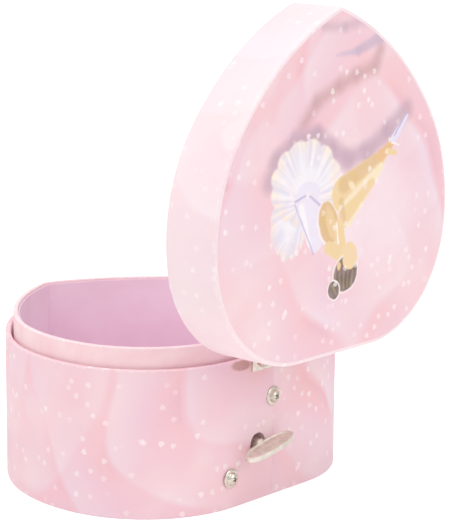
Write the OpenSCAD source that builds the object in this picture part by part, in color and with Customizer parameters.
// Wind-up music box: a paper-covered card box with a hinged lid, a key-wound comb movement
// behind a false wall, and a dancer that turns on a deck while the tune plays.
// Origin: centre of the footprint at the underside. Tip at -Y, hinge and key wall at +Y, +Z up.
// The lid is drawn open at its stop, a quarter turn back from closed.

/* [Outline] */
// Angle between the centre line and each side at the tip
tip_half_angle = 71.4; // [60:0.1:80]
// Radius of the long side next to the tip
side_r = 118.4; // [100:0.1:140]
// Turn of the long side in degrees
side_turn = 34.9; // [28:0.1:42]
// Radius of the flank at the widest place
flank_r = 72.2; // [60:0.1:90]
// Turn of the flank in degrees
flank_turn = 42.6; // [36:0.1:48]
// Radius of the shoulder that runs into the back wall
shoulder_r = 48.6; // [40:0.1:60]

/* [Box] */
// Height of the outer shell
shell_h = 60; // [50:1:80]
// Thickness of the outer shell
shell_wall = 2.4; // [1.5:0.1:3]
// Distance from the outer shell's face to the liner's face
liner_inset = 3.4; // [3:0.1:5]
// Thickness of the liner
liner_wall = 2; // [1.5:0.1:3]
// Height of the liner's lip above the shell's rim
lip_h = 8.2; // [5:0.1:12]
// Thickness of the bottom board and of the lid board
board_t = 2; // [1.5:0.1:3]
// Thickness of the cloth lining
lining_t = 0.6; // [0.4:0.1:1]
// Thickness of the padded floor
pad_t = 5; // [3:0.5:8]
// Height of the deck's top face
deck_z = 50; // [46:1:52]
// Thickness of the deck
deck_t = 2; // [1.5:0.1:3]
// Y of the false wall's front face
partition_y = 32; // [25:1:36]

/* [Lid] */
// Depth of the lid
lid_h = 24.4; // [20:0.1:30]
// Distance that the lid's skirt stands inside the shell's outer face
lid_inset = 0.5; // [0:0.1:1]
// Thickness of the lid's skirt
skirt_wall = 2; // [1.5:0.1:2.5]
// Gap between the shell's rim and the closed lid
lid_gap = 0.3; // [0.1:0.1:1]
// Width of the mirror
mirror_w = 70; // [50:1:80]
// Length of the mirror
mirror_l = 52; // [40:1:60]

/* [Hinge] */
// Distance of the hinge axis behind the back wall
hinge_back = 5.1; // [4.5:0.1:7]
// Distance of the hinge axis below the shell's rim
hinge_drop = 1.6; // [1:0.1:3]
// Width of the hinge
hinge_w = 27; // [20:1:40]
// Outer radius of the knuckles
knuckle_r = 1.8; // [1.5:0.1:2.2]
// Radius of the hinge pin
hinge_pin_r = 0.9; // [0.7:0.1:1]
// Thickness of the hinge leaves
leaf_t = 0.9; // [0.6:0.1:1]

/* [Key] */
// X of the key's axis
key_x = 9.1; // [6:0.1:10]
// Z of the key's axis
key_z = 23.4; // [22:0.1:24]
// Radius of the key hole in the wall
key_hole_r = 4.5; // [4:0.1:6]
// Length of the key's handle
handle_l = 27; // [22:0.5:27]
// Width of the key's handle
handle_w = 10; // [8:0.5:12]
// Thickness of the key's handle
handle_t = 2.2; // [1.5:0.1:3]
// Turn of the handle from level at rest
handle_turn = 12; // [0:1:90]

/* [Movement] */
// Depth of the train's axes in front of the bedplate
train_w = 9; // [9:0.1:9.5]
// Number of tines on the comb
tine_count = 18; // [12:1:18]
// Spacing of the tines
tine_pitch = 0.7; // [0.6:0.01:0.7]
// Radius of the tune drum
drum_r = 6.5; // [6:0.1:6.5]
// Travel of the stop rod when the lid closes
stop_travel = 3; // [2:0.5:3]

/* [Hidden] */

$fn = 48;
card = "#f3cdd3";
print_pink = "#f6d6dc";
cloth = "#cfa2bd";
nickel = "#d8d2c6";
brass_tone = "#c9a453";
steel = "#a9abb0";

// Outline: three arcs a side from the tip round to the straight back, headings from +Y to +X
h_tip = tip_half_angle;
h_side = h_tip - side_turn;
h_flank = h_side - flank_turn;
h_back = -90;
function arc_end(p, r, h0, h1) = [p[0] + r * (cos(h1) - cos(h0)), p[1] + r * (sin(h0) - sin(h1))];
function arc_centre(p, r, h) = [p[0] - r * cos(h), p[1] + r * sin(h)];
side_end = arc_end([0, 0], side_r, h_tip, h_side);
flank_end = arc_end(side_end, flank_r, h_side, h_flank);
back_end = arc_end(flank_end, shoulder_r, h_flank, h_back);
half_l = back_end[1] / 2;
shift = [0, -half_l];
side_c = arc_centre([0, 0], side_r, h_tip) + shift;
flank_c = arc_centre(side_end, flank_r, h_side) + shift;
shoulder_c = arc_centre(flank_end, shoulder_r, h_flank) + shift;
function arc_points(c, r, h0, h1, n, first) =
    [for (i = [first : n]) let(h = h0 + (h1 - h0) * i / n) [c[0] + r * cos(h), c[1] - r * sin(h)]];
function tip_heading(d) = acos(-side_c[0] / (side_r - d));
function half_outline(d) = concat(
    arc_points(side_c, side_r - d, tip_heading(d), h_side, 12, 0),
    arc_points(flank_c, flank_r - d, h_side, h_flank, 9, 1),
    arc_points(shoulder_c, shoulder_r - d, h_flank, h_back, 14, 1));
function mirrored(pts) = [for (i = [len(pts) - 1 : -1 : 1]) [-pts[i][0], pts[i][1]]];
function outline(d) = concat(half_outline(d), mirrored(half_outline(d)));

// Heights and depths
liner_inner = liner_inset + liner_wall;
liner_top = shell_h + lip_h;
lining_inner = liner_inner + lining_t;
lid_z = shell_h + lid_gap;
lid_top_z = lid_z + lid_h;
ceiling_z = lid_top_z - board_t;
hinge_y = half_l + hinge_back;
hinge_z = shell_h - hinge_drop;
plate_t = 1.5;
plate_gap = 0.45;
plate_y = half_l - liner_inner - plate_gap - plate_t;
train_y = plate_y - train_w;
running = 0.05;

// Movement sizes, with the train's gear module first
gear_m = 0.5;
crown_teeth = 48;
drum_teeth = 16;
gear_teeth = 30;
idler_teeth = 10;
wheel_teeth = 24;
barrel_r = 10;
arbor_r = 1.6;
drum_shaft_r = 0.8;
idler_shaft_r = 0.6;
governor_shaft_r = 0.5;
spindle_r = 0.9;
rod_r = 0.8;
crown_r = crown_teeth * gear_m / 2;
crown_w = train_w - drum_teeth * gear_m / 2;
crown_half = 1;
mesh_phase = 180 / drum_teeth;
drum_pinion_x = key_x - crown_r;
drum_x0 = -19.8;
drum_x1 = -6.8;
gear_x = -21.2;
far_x = -23.5;
near_x = -6.1;
idler_z = key_z - (gear_teeth + idler_teeth) * gear_m / 2;
worm_r = 1.5;
worm_x = -27;
worm_w = train_w + wheel_teeth * gear_m / 2 + worm_r;
worm_y = plate_y - worm_w;
stop_x = worm_x + 4.5;
screw_low = [25.4, 12.5];
screw_high = [0.2, 41.4];
screw_hole_r = 1.35;

// Solid slab of the box outline, d inside the outer face
module slab(d, z0, z1) {
    translate([0, 0, z0]) linear_extrude(z1 - z0) polygon(outline(d));
}

// Wall that follows the box outline from d_out to d_in inside the outer face
module ring(d_out, d_in, z0, z1) {
    difference() {
        slab(d_out, z0, z1);
        slab(d_in, z0 - 1, z1 + 1);
    }
}

// Round bar from depth w0 to w1 in front of the bedplate
module bar_y(x, z, w0, w1, r) {
    translate([x, plate_y - w0, z]) rotate([90, 0, 0]) cylinder(h = w1 - w0, r = r);
}

// Round bar along X at the train's depth
module bar_x(z, x0, x1, r) {
    translate([x0, train_y, z]) rotate([0, 90, 0]) cylinder(h = x1 - x0, r = r);
}

// Round bar along Z
module bar_z(x, y, z0, z1, r) {
    translate([x, y, z0]) cylinder(h = z1 - z0, r = r);
}

// Block from x0 to x1, from depth w0 to w1 and from z0 to z1
module block(x0, x1, w0, w1, z0, z1) {
    translate([x0, plate_y - w1, z0]) cube([x1 - x0, w1 - w0, z1 - z0]);
}

// Moves a closed lid to the open pose: a quarter turn about the hinge axis
module opened() {
    translate([0, hinge_y, hinge_z]) rotate([-90, 0, 0]) translate([0, -hinge_y, -hinge_z]) children();
}

// Spur gear outline with straight-sided teeth and generous backlash
function gear_points(teeth, phase) = [for (i = [0 : teeth - 1], k = [0 : 3])
    let(step = 360 / teeth, at = [-0.23, -0.11, 0.11, 0.23][k], r = teeth * gear_m / 2
        + (k == 1 || k == 2 ? gear_m * 0.96 : -gear_m * 1.2), a = phase + step * (i + at))
    [r * cos(a), r * sin(a)]];

module spur(teeth, width, bore_r, phase) {
    difference() {
        linear_extrude(width) polygon(gear_points(teeth, phase));
        translate([0, 0, -1]) cylinder(h = width + 2, r = bore_r);
    }
}

// Spur gear on an X shaft; a tooth at phase 0 points along -Z
module spur_x(teeth, z, x0, width, bore_r, phase) {
    translate([x0, train_y, z]) rotate([0, 90, 0]) spur(teeth, width, bore_r, phase);
}

// Row of holes through the back wall for the key and the two movement screws
module back_holes(hole_r) {
    bar_y(key_x, key_z, -12, 0.5, hole_r);
    for (p = [screw_low, screw_high]) bar_y(p[0], p[1], -12, 0.5, screw_hole_r);
}

// ---------- box ----------
module base_shell() {
    color(print_pink) difference() {
        ring(0, shell_wall, 0, shell_h);
        back_holes(key_hole_r);
    }
}

module base_board() {
    color(card) slab(shell_wall, 0, board_t);
}

module base_liner() {
    color(card) difference() {
        ring(liner_inset, liner_inner, board_t, liner_top);
        back_holes(key_hole_r);
    }
}

module wall_lining() {
    color(cloth) intersection() {
        ring(liner_inner, lining_inner, board_t, liner_top - 1);
        translate([-100, -100, 0]) cube([200, 100 + partition_y - 0.1, 100]);
    }
}

module floor_pad() {
    color(cloth) intersection() {
        slab(lining_inner + 0.3, board_t, board_t + pad_t);
        translate([-100, -100, 0]) cube([200, 100 + partition_y - 0.4, 100]);
    }
}

module partition_panel() {
    color(cloth) intersection() {
        slab(liner_inner, board_t, deck_z - deck_t);
        translate([-100, partition_y, 0]) cube([200, board_t, 100]);
    }
}

// Holes of the deck: the spindle's bushing and the stop rod's guide
module deck_holes() {
    bar_z(key_x, train_y, deck_z - 5, deck_z + 5, 2.5);
    bar_z(stop_x, worm_y, deck_z - 5, deck_z + 5, 2);
}

module deck_panel() {
    color(card) difference() {
        intersection() {
            slab(liner_inner, deck_z - deck_t, deck_z);
            translate([-100, partition_y, 0]) cube([200, 100, 100]);
        }
        deck_holes();
    }
}

module deck_lining() {
    color(cloth) difference() {
        intersection() {
            slab(liner_inner, deck_z, deck_z + lining_t);
            translate([-100, partition_y, 0]) cube([200, 100, 100]);
        }
        deck_holes();
    }
}

// ---------- hinge ----------
knuckle_l = hinge_w / 4;
knuckle_gap = 0.15;
flange_h = 4.6;

// Knuckles of one leaf: tubes round the hinge axis between the listed X pairs
module knuckles(spans) {
    for (s = spans) difference() {
        translate([s[0], hinge_y, hinge_z]) rotate([0, 90, 0]) cylinder(h = s[1] - s[0], r = knuckle_r);
        translate([s[0] - 1, hinge_y, hinge_z]) rotate([0, 90, 0])
            cylinder(h = s[1] - s[0] + 2, r = hinge_pin_r + running);
    }
}

outer_spans = [[-hinge_w / 2, -knuckle_l], [knuckle_l, hinge_w / 2]];
inner_spans = [[-knuckle_l + knuckle_gap, knuckle_l - knuckle_gap]];

module hinge_base_leaf() {
    color(nickel) {
        knuckles(outer_spans);
        difference() {
            union() {
                translate([-hinge_w / 2, half_l, hinge_z - flange_h])
                    cube([hinge_w, leaf_t, flange_h + knuckle_r - leaf_t]);
                for (s = outer_spans)
                    translate([s[0], half_l, hinge_z + knuckle_r - leaf_t])
                        cube([s[1] - s[0], hinge_back, leaf_t]);
            }
            translate([-50, hinge_y, hinge_z]) rotate([0, 90, 0]) cylinder(h = 100, r = hinge_pin_r + 0.4);
        }
    }
}

module hinge_lid_leaf() {
    flange_y = half_l - lid_inset;
    flange_z = hinge_z + 2.6;
    arm_y = half_l + running;
    arm_z = hinge_z + knuckle_r - leaf_t;
    color(nickel) opened() {
        knuckles(inner_spans);
        difference() {
            union() {
                translate([-hinge_w / 2, flange_y, flange_z]) cube([hinge_w, leaf_t, flange_h]);
                for (s = inner_spans) {
                    translate([s[0], arm_y, arm_z]) cube([s[1] - s[0], hinge_y - arm_y, leaf_t]);
                    translate([s[0], arm_y, arm_z]) cube([s[1] - s[0], leaf_t, flange_z + 1 - arm_z]);
                }
            }
            translate([-50, hinge_y, hinge_z]) rotate([0, 90, 0]) cylinder(h = 100, r = hinge_pin_r + 0.4);
        }
    }
}

module hinge_pin() {
    head_l = 0.7;
    color(nickel) {
        translate([-hinge_w / 2 - head_l / 2, hinge_y, hinge_z]) rotate([0, 90, 0])
            cylinder(h = hinge_w + head_l, r = hinge_pin_r);
        for (x = [-hinge_w / 2 - head_l - 0.1, hinge_w / 2 + 0.1])
            translate([x, hinge_y, hinge_z]) rotate([0, 90, 0]) cylinder(h = head_l, r = knuckle_r - 0.3);
    }
}

// ---------- fixed parts of the movement ----------
// Washer-head screw through the back wall into the bedplate, head at +Y
module washer_screw(x, z) {
    head_r = 3.95;
    dome_r = 2.7;
    translate([x, half_l, z]) rotate([-90, 0, 0]) difference() {
        rotate_extrude() polygon([[0, -9], [1.25, -9], [1.25, 0], [head_r, 0], [head_r, 0.5],
            [head_r - 0.5, 0.8], [dome_r, 0.9], [dome_r - 0.1, 1.6], [dome_r - 0.7, 2.2],
            [dome_r - 1.7, 2.5], [0, 2.6]]);
        for (a = [0, 90]) rotate([0, 0, a]) translate([-1.6, -0.32, 1.5]) cube([3.2, 0.64, 2]);
    }
}

module movement_screws() {
    color(nickel) for (p = [screw_low, screw_high]) washer_screw(p[0], p[1]);
}

module bedplate() {
    color(brass_tone) difference() {
        block(-28.6, 28.3, -plate_t, 0, 4, 46);
        bar_y(key_x, key_z, -3, 1, 2 + running);
        for (p = [screw_low, screw_high]) bar_y(p[0], p[1], -3, 1, 1.25 + running);
    }
}

bridge_w = 14.2;
bracket_w = train_w + 3;
bridge_posts = [[key_x + 13.4, key_z + 8], [key_x + 7.5, key_z - 13.5]];

module barrel_bridge() {
    color(brass_tone) {
        for (p = bridge_posts) bar_y(p[0], p[1], 0, bridge_w, 1.6);
        difference() {
            hull() {
                for (p = bridge_posts) bar_y(p[0], p[1], bridge_w, bridge_w + 1.4, 3);
                bar_y(key_x, key_z, bridge_w, bridge_w + 1.4, 4);
            }
            bar_y(key_x, key_z, bridge_w - 1, bridge_w + 3, 1.2 + running);
            for (p = bridge_posts) bar_y(p[0], p[1], bridge_w - 1, bridge_w + 3, 0.9);
        }
    }
}

// Slotted cheese-head screw, head at depth w facing the interior
module slot_screw(x, z, w, shank) {
    difference() {
        union() {
            bar_y(x, z, w, w + 1, 1.5);
            bar_y(x, z, w - shank, w, 0.75);
        }
        block(x - 2, x + 2, w + 0.5, w + 2, z - 0.25, z + 0.25);
    }
}

module bridge_screws() {
    color(steel) for (p = bridge_posts) slot_screw(p[0], p[1], bridge_w + 1.45, 1.4);
}

// Upright bracket with a bearing for the drum's arbor
module drum_bracket(x, z0) {
    difference() {
        block(x - 0.5, x + 0.5, 0, bracket_w, z0, key_z + 3);
        bar_x(key_z, x - 1, x + 1, drum_shaft_r + running);
        bar_x(idler_z, x - 1, x + 1, idler_shaft_r + running);
    }
}

module drum_bracket_near() {
    color(brass_tone) drum_bracket(near_x, key_z - 4);
}

module drum_bracket_far() {
    color(brass_tone) drum_bracket(far_x, idler_z - 3);
}

// Corner and depth of the governor's frame, and its two screws
frame_x0 = -30.6;
frame_z0 = 5.5;
frame_z1 = 46;
frame_w = worm_w + 2.5;
frame_screw_x = -26.6;
frame_screw_z = [20, 33];

module governor_frame() {
    color(brass_tone) difference() {
        union() {
            block(frame_x0, frame_x0 + 6, 0, 1.2, frame_z0, frame_z1);
            block(frame_x0, frame_x0 + 1, 0, frame_w, frame_z0, frame_z0 + 1.5);
            block(frame_x0, frame_x0 + 1, 0, bracket_w, frame_z0, idler_z + 3);
            block(frame_x0, worm_x + 1.5, worm_w - 2.5, frame_w, frame_z0, frame_z0 + 1.5);
            block(worm_x - 1.8, worm_x + 1.5, 0, frame_w, frame_z1 - 1.5, frame_z1);
        }
        bar_x(idler_z, frame_x0 - 1.4, frame_x0 + 2.6, idler_shaft_r + running);
        bar_z(worm_x, worm_y, 6.2, 8, governor_shaft_r + running);
        bar_z(worm_x, worm_y, 44, 45.6, governor_shaft_r + running);
        for (z = frame_screw_z) bar_y(frame_screw_x, z, -1, 2, 0.8);
    }
}

module frame_screws() {
    color(steel) for (z = frame_screw_z) slot_screw(frame_screw_x, z, 1.25, 1.2);
}

comb_root_z = 39.5;
comb_top_z = 45.5;
comb_x1 = drum_x1 - 0.2;
comb_x0 = comb_x1 - tine_count * tine_pitch;
comb_tip_z = key_z + drum_r + 0.85;
comb_t = 0.8;
comb_screw_x = [comb_x0 + 3, comb_x1 - 3];

module comb_block() {
    color(brass_tone) difference() {
        block(comb_x0, comb_x1, 0, train_w - comb_t / 2, comb_root_z, comb_top_z);
        for (x = comb_screw_x) bar_y(x, 42.5, train_w - 4, train_w, 0.8);
    }
}

module comb() {
    color(steel) difference() {
        union() {
            block(comb_x0, comb_x1, train_w - comb_t / 2, train_w + comb_t / 2, comb_root_z, comb_top_z);
            for (i = [0 : tine_count - 1])
                block(comb_x0 + (i + 0.12) * tine_pitch, comb_x0 + (i + 0.88) * tine_pitch,
                    train_w - comb_t / 2, train_w + comb_t / 2, comb_tip_z, comb_root_z + 0.1);
        }
        for (x = comb_screw_x) bar_y(x, 42.5, train_w - 2, train_w + 2, 0.8);
    }
}

module comb_screws() {
    color(steel) for (x = comb_screw_x) slot_screw(x, 42.5, train_w + comb_t / 2 + 0.05, 3);
}

module spindle_bracket() {
    color(brass_tone) difference() {
        block(key_x - 3, key_x + 3, 0, bracket_w, 38.2, 39.6);
        bar_z(key_x, train_y, 37, 41, spindle_r + running);
    }
}

module deck_bushing() {
    color(nickel) difference() {
        union() {
            bar_z(key_x, train_y, deck_z - deck_t - 0.8, deck_z + lining_t, 2.5);
            bar_z(key_x, train_y, deck_z + lining_t, deck_z + lining_t + 0.5, 3.4);
        }
        bar_z(key_x, train_y, deck_z - 5, deck_z + 5, spindle_r + running);
    }
}

module stop_guide() {
    color(nickel) difference() {
        union() {
            bar_z(stop_x, worm_y, deck_z - deck_t - 0.8, deck_z + lining_t, 2);
            bar_z(stop_x, worm_y, deck_z + lining_t, deck_z + lining_t + 0.5, 2.8);
        }
        bar_z(stop_x, worm_y, deck_z - 5, deck_z + 5, rod_r + running);
    }
}

// ---------- lid ----------
module lid_skirt() {
    color(print_pink) opened() ring(lid_inset, lid_inset + skirt_wall, lid_z, ceiling_z);
}

module lid_top() {
    color(print_pink) opened() slab(lid_inset, ceiling_z, lid_top_z);
}

lid_lining_out = lid_inset + skirt_wall;

module lid_lining() {
    color(cloth) opened() ring(lid_lining_out, lid_lining_out + lining_t, liner_top + 1, ceiling_z);
}

module lid_panel() {
    color(cloth) opened() slab(lid_lining_out + lining_t + 0.05, ceiling_z - 0.8, ceiling_z);
}

mirror_y = -8;
mirror_z = ceiling_z - 0.8;

// Plate with rounded corners centred on the mirror's place
module mirror_plate(grow, z0, z1) {
    corner_r = 6 + grow;
    hull() for (sx = [-1, 1], sy = [-1, 1])
        translate([sx * (mirror_w / 2 - 6), mirror_y + sy * (mirror_l / 2 - 6), z0])
            cylinder(h = z1 - z0, r = corner_r, $fn = 32);
}

module lid_mirror() {
    color("#dfe6ea") opened() mirror_plate(0, mirror_z - 1.2, mirror_z);
}

module mirror_frame() {
    color(card) opened() difference() {
        mirror_plate(2.2, mirror_z - 1.5, mirror_z);
        mirror_plate(0.05, mirror_z - 2.5, mirror_z + 1);
    }
}

// ---------- key ----------
handle_stand = 1.2;
hub_in = 4;
hub_r = 2.2;
handle_y = half_l + handle_stand + handle_w / 2;
handle_power = 0.85;
function rounded_sine(v) = sign(v) * pow(abs(v), handle_power);
handle_points = [for (a = [0 : 7.5 : 352.5])
    [rounded_sine(cos(a)) * handle_l / 2, rounded_sine(sin(a)) * handle_w / 2]];
rim_w = 0.9;

module winding_key() {
    field = (handle_w - 2 * rim_w) / handle_w;
    field_l = (handle_l - 3 * rim_w) / handle_l;
    recess = 0.5;
    color(nickel) {
        translate([key_x, handle_y, key_z]) rotate([0, handle_turn, 0]) difference() {
            translate([0, 0, -handle_t / 2]) linear_extrude(handle_t) polygon(handle_points);
            for (z = [-handle_t / 2 - 1, handle_t / 2 - recess])
                translate([0, 0, z]) linear_extrude(1 + recess)
                    polygon([for (p = handle_points) [p[0] * field_l, p[1] * field]]);
        }
        difference() {
            translate([key_x, half_l - hub_in, key_z]) rotate([-90, 0, 0])
                cylinder(h = hub_in + handle_stand + 0.8, r = hub_r);
            translate([key_x, half_l - hub_in - 1, key_z]) rotate([-90, 0, 0]) cylinder(h = 5, r = 1.5);
        }
    }
}

module winding_arbor() {
    key_end = half_l - 0.3 - plate_y;
    color(steel) {
        bar_y(key_x, key_z, -key_end, -plate_t - 1, 1.45);
        bar_y(key_x, key_z, -plate_t - 1, 0.4, 2);
        bar_y(key_x, key_z, 0.4, 13.6, arbor_r);
        bar_y(key_x, key_z, 13.6, bridge_w + 1.8, 1.2);
    }
}

// ---------- barrel ----------
ring_back_w = crown_w - 1.7;
ring_face_w = crown_w - 0.6;
tooth_tip_w = crown_w + 0.48;
crown_pitch = PI * gear_m;
crown_rise = tooth_tip_w - ring_face_w;
crown_tooth = [[-0.23 * crown_pitch, -0.2], [0.23 * crown_pitch, -0.2],
    [0.11 * crown_pitch, crown_rise], [-0.11 * crown_pitch, crown_rise]];

module spring_barrel() {
    color(brass_tone) {
        difference() {
            union() {
                bar_y(key_x, key_z, 0.6, 13, barrel_r);
                bar_y(key_x, key_z, ring_back_w, ring_face_w, crown_r + crown_half);
            }
            bar_y(key_x, key_z, 1.6, 14, barrel_r - 0.8);
            bar_y(key_x, key_z, -1, 14, arbor_r + running);
        }
        translate([key_x, plate_y - ring_face_w, key_z]) rotate([90, 0, 0])
            for (i = [0 : crown_teeth - 1]) rotate([0, 0, i * 360 / crown_teeth])
                translate([crown_r - crown_half, 0, 0]) rotate([90, 0, 90])
                    linear_extrude(2 * crown_half) polygon(crown_tooth);
    }
}

// Flat spiral strip, coiled from the arbor out to the barrel's wall
module mainspring() {
    turns = 5;
    steps = 24 * turns;
    r0 = 2.6;
    r1 = 8.95;
    half_t = 0.2;
    function spiral(i, side) =
        let(a = i * 15, r = r0 + (r1 - r0) * i / steps + side) [r * cos(a), r * sin(a)];
    color(steel) translate([key_x, plate_y - 2, key_z]) rotate([90, 0, 0]) linear_extrude(9.4)
        polygon(concat([for (i = [0 : steps]) spiral(i, half_t)],
            [for (i = [steps : -1 : 0]) spiral(i, -half_t)]));
}

module barrel_cap() {
    color(brass_tone) difference() {
        bar_y(key_x, key_z, 12, 13, barrel_r - 0.8);
        bar_y(key_x, key_z, 11, 14, arbor_r + running);
    }
}

// ---------- drum ----------
module tune_drum() {
    pins_per_track = 3;
    golden = 137.5;
    color(brass_tone) difference() {
        union() {
            bar_x(key_z, drum_x0, drum_x1, drum_r);
            for (t = [0 : tine_count - 1], k = [0 : pins_per_track - 1])
                translate([comb_x0 + (t + 0.5) * tine_pitch, train_y, key_z])
                    rotate([(t * pins_per_track + k) * golden, 0, 0])
                        translate([0, 0, drum_r - 0.4]) cylinder(h = 1.1, r = 0.18);
        }
        bar_x(key_z, drum_x0 - 1, drum_x1 + 1, drum_shaft_r);
    }
}

module drum_arbor() {
    color(steel) bar_x(key_z, far_x - 0.8, drum_pinion_x + 1.5, drum_shaft_r);
}

module drum_pinion() {
    color(brass_tone) spur_x(drum_teeth, key_z, drum_pinion_x - crown_half, 2 * crown_half, drum_shaft_r,
        mesh_phase);
}

module drum_gear() {
    color(brass_tone) spur_x(gear_teeth, key_z, gear_x - 0.6, 1.2, drum_shaft_r, 0);
}

// ---------- idler ----------
module idler_shaft() {
    color(steel) bar_x(idler_z, frame_x0 - 0.3, gear_x + 0.9, idler_shaft_r);
}

module idler_pinion() {
    color(brass_tone) spur_x(idler_teeth, idler_z, gear_x - 0.7, 1.4, idler_shaft_r, 180 / idler_teeth);
}

module worm_wheel() {
    color(brass_tone) spur_x(wheel_teeth, idler_z, worm_x - 0.7, 1.4, idler_shaft_r, 0);
}

// ---------- governor ----------
worm_lead = PI * gear_m;
worm_turns = 4;
worm_half = worm_lead * worm_turns / 2;
// The thread's hollow faces the wheel's centre tooth, so its crest points away at the middle
worm_phase = -90;

// Right-handed single-start worm, a round thread swept up an upright shaft
module governor_worm() {
    color(steel) {
        bar_z(worm_x, worm_y, 6.3, idler_z - worm_half + 0.2, governor_shaft_r);
        bar_z(worm_x, worm_y, idler_z + worm_half - 0.2, 45.4, governor_shaft_r);
        translate([worm_x, worm_y, idler_z - worm_half]) rotate([0, 0, worm_phase])
            linear_extrude(2 * worm_half, twist = -360 * worm_turns, slices = 16 * worm_turns)
                translate([0.42, 0]) circle(r = 1.05, $fn = 12);
    }
}

module governor_fan() {
    fan_r = 5.5;
    color(brass_tone) difference() {
        union() {
            bar_z(worm_x, worm_y, 33, 40.8, 1.2);
            translate([worm_x - fan_r, worm_y - 0.2, 33.5]) cube([2 * fan_r, 0.4, 6.5]);
            bar_z(worm_x, worm_y, 40, 40.8, fan_r);
        }
        bar_z(worm_x, worm_y, 32, 42, governor_shaft_r);
    }
}

// ---------- dancer ----------
turntable_z = deck_z + lining_t + 0.8;
spring_top_z = turntable_z + 4.6;
toe_z = spring_top_z - 0.4;
waist_z = toe_z + 12.6;
head_z = waist_z + 8.2;

module dancer_spindle() {
    color(steel) {
        bar_z(key_x, train_y, 33.6, turntable_z + 1.2, spindle_r);
        bar_z(key_x, train_y, 39.7, 41, 2);
    }
}

module spindle_pinion() {
    color(brass_tone) translate([key_x, train_y, key_z + crown_r - crown_half])
        spur(drum_teeth, 2 * crown_half, spindle_r, 90 + mesh_phase);
}

module dancer_turntable() {
    color(print_pink) difference() {
        bar_z(key_x, train_y, turntable_z, turntable_z + 1.2, 6);
        bar_z(key_x, train_y, turntable_z - 1, turntable_z + 2, spindle_r);
    }
}

// Ring of round wire
module wire_ring(x, y, z, r, wire_r) {
    translate([x, y, z]) rotate_extrude() translate([r, 0]) circle(r = wire_r, $fn = 16);
}

module dancer_spring() {
    color(nickel) for (i = [0 : 3]) wire_ring(key_x, train_y, turntable_z + 1.6 + i * 0.8, 1.4, 0.4);
}

module dancer_figure() {
    color("#f1cbb2") translate([key_x, train_y, 0]) {
        translate([0, 0, toe_z]) cylinder(h = waist_z - toe_z, r1 = 0.8, r2 = 1.3);
        translate([0, 0, waist_z]) cylinder(h = 4.6, r1 = 1.3, r2 = 1.9);
        translate([0, 0, waist_z + 4.5]) cylinder(h = 2.6, r = 0.8);
        translate([0, 0, head_z]) sphere(r = 1.9);
        translate([0, 0, head_z + 1.9]) sphere(r = 1.1);
        for (s = [-1, 1]) {
            hull() {
                translate([s * 1.8, 0, waist_z + 4.2]) sphere(r = 0.6, $fn = 16);
                translate([s * 4, 0, head_z - 0.6]) sphere(r = 0.5, $fn = 16);
            }
            hull() {
                translate([s * 4, 0, head_z - 0.6]) sphere(r = 0.5, $fn = 16);
                translate([s * 1.2, 0, head_z + 3.8]) sphere(r = 0.5, $fn = 16);
            }
        }
    }
}

module dancer_tutu() {
    color("#fbf4f6") difference() {
        translate([key_x, train_y, waist_z - 1.9]) cylinder(h = 1.9, r1 = 6.2, r2 = 1.8);
        bar_z(key_x, train_y, waist_z - 3, waist_z + 1, 1.4);
    }
}

// ---------- stop rod ----------
stop_top_z = lid_top_z - board_t - 0.8 - 0.4 + stop_travel;
pad_bottom_z = 40.8 + 0.4 + stop_travel;

module stop_rod() {
    color(nickel) bar_z(stop_x, worm_y, pad_bottom_z + 0.8, stop_top_z - 1, rod_r);
}

module stop_knob() {
    color(nickel) difference() {
        translate([stop_x, worm_y, stop_top_z - 1.7]) intersection() {
            sphere(r = 1.7);
            translate([-2, -2, -1.2]) cube([4, 4, 5]);
        }
        bar_z(stop_x, worm_y, stop_top_z - 5, stop_top_z - 1, rod_r);
    }
}

module stop_pad() {
    color("#7a3b46") bar_z(stop_x, worm_y, pad_bottom_z, pad_bottom_z + 0.8, 1.1);
}

module stop_spring() {
    color(steel) for (i = [0 : 4])
        wire_ring(stop_x, worm_y, deck_z + lining_t + 0.9 + i * 1.1, 1.45, 0.3);
}

base_shell();
base_board();
base_liner();
wall_lining();
floor_pad();
partition_panel();
deck_panel();
deck_lining();
hinge_base_leaf();
hinge_pin();
movement_screws();
bedplate();
barrel_bridge();
bridge_screws();
drum_bracket_near();
drum_bracket_far();
governor_frame();
frame_screws();
comb_block();
comb();
comb_screws();
spindle_bracket();
deck_bushing();
stop_guide();
lid_skirt();
lid_top();
lid_lining();
lid_panel();
lid_mirror();
mirror_frame();
hinge_lid_leaf();
winding_key();
winding_arbor();
spring_barrel();
mainspring();
barrel_cap();
tune_drum();
drum_arbor();
drum_pinion();
drum_gear();
idler_shaft();
idler_pinion();
worm_wheel();
governor_worm();
governor_fan();
dancer_spindle();
spindle_pinion();
dancer_turntable();
dancer_spring();
dancer_figure();
dancer_tutu();
stop_rod();
stop_knob();
stop_pad();
stop_spring();
